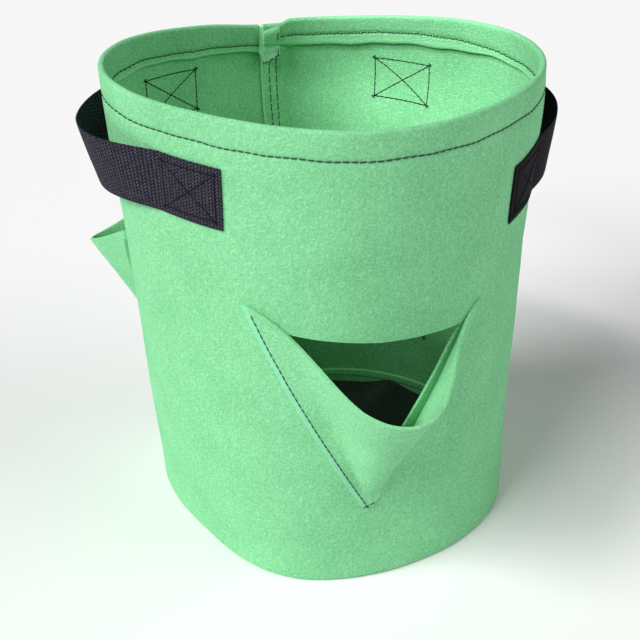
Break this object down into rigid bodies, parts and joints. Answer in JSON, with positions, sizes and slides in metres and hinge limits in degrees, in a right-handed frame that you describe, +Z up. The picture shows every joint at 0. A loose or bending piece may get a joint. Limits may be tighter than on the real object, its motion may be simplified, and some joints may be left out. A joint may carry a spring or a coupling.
{
  "type": "fabric grow bag",
  "caption": "Round felt planting bag with a hemmed rim, webbing carry handles and open flap pockets over windows cut in its wall",
  "frame": {"origin": "centre of the round base, on the surface the bag stands on", "axes": "+Z up along the bag's axis, +Y towards the back seam, -Y towards the front pocket, +X to the right"},
  "size_m": [0.4017, 0.4216, 0.45],
  "materials": {
    "felt": "matte needled felt",
    "base_felt": "matte needled felt",
    "flap_felt": "matte needled felt",
    "webbing": "coarse woven webbing",
    "green_thread": "twisted thread",
    "black_thread": "twisted thread"
  },
  "bodies": {
    "bag": {"wall_panel": "felt", "base_panel": "base_felt", "front_pocket_flap": "flap_felt", "left_pocket_flap": "flap_felt", "right_pocket_flap": "flap_felt", "left_handle_front_end": "webbing", "left_handle_rear_end": "webbing", "right_handle_front_end": "webbing", "right_handle_rear_end": "webbing", "hem_stitch_outer": "green_thread", "hem_stitch_inner": "green_thread", "base_stitch": "green_thread", "seam_stitch_left": "green_thread", "seam_stitch_right": "green_thread", "front_pocket_stitch": "green_thread", "left_pocket_stitch": "green_thread", "right_pocket_stitch": "green_thread", "left_handle_front_stitch": "black_thread", "left_handle_front_bobbin": "black_thread", "left_handle_rear_stitch": "black_thread", "left_handle_rear_bobbin": "black_thread", "right_handle_front_stitch": "black_thread", "right_handle_front_bobbin": "black_thread", "right_handle_rear_stitch": "black_thread", "right_handle_rear_bobbin": "black_thread"},
    "left_handle": {"left_handle_span": "webbing"},
    "right_handle": {"right_handle_span": "webbing"}
  },
  "joints": [
    {"name": "left_handle_lift", "type": "hinge", "parent": "bag", "child": "left_handle", "pos_m": [-0.15122, 0.01991, 0.4095], "axis": [0.1305, 0.9914, 0.01], "range_deg": [0, 50]},
    {"name": "right_handle_lift", "type": "hinge", "parent": "bag", "child": "right_handle", "pos_m": [0.15122, 0.01991, 0.3965], "axis": [0.1301, -0.9885, -0.0766], "range_deg": [0, 50]}
  ]
}
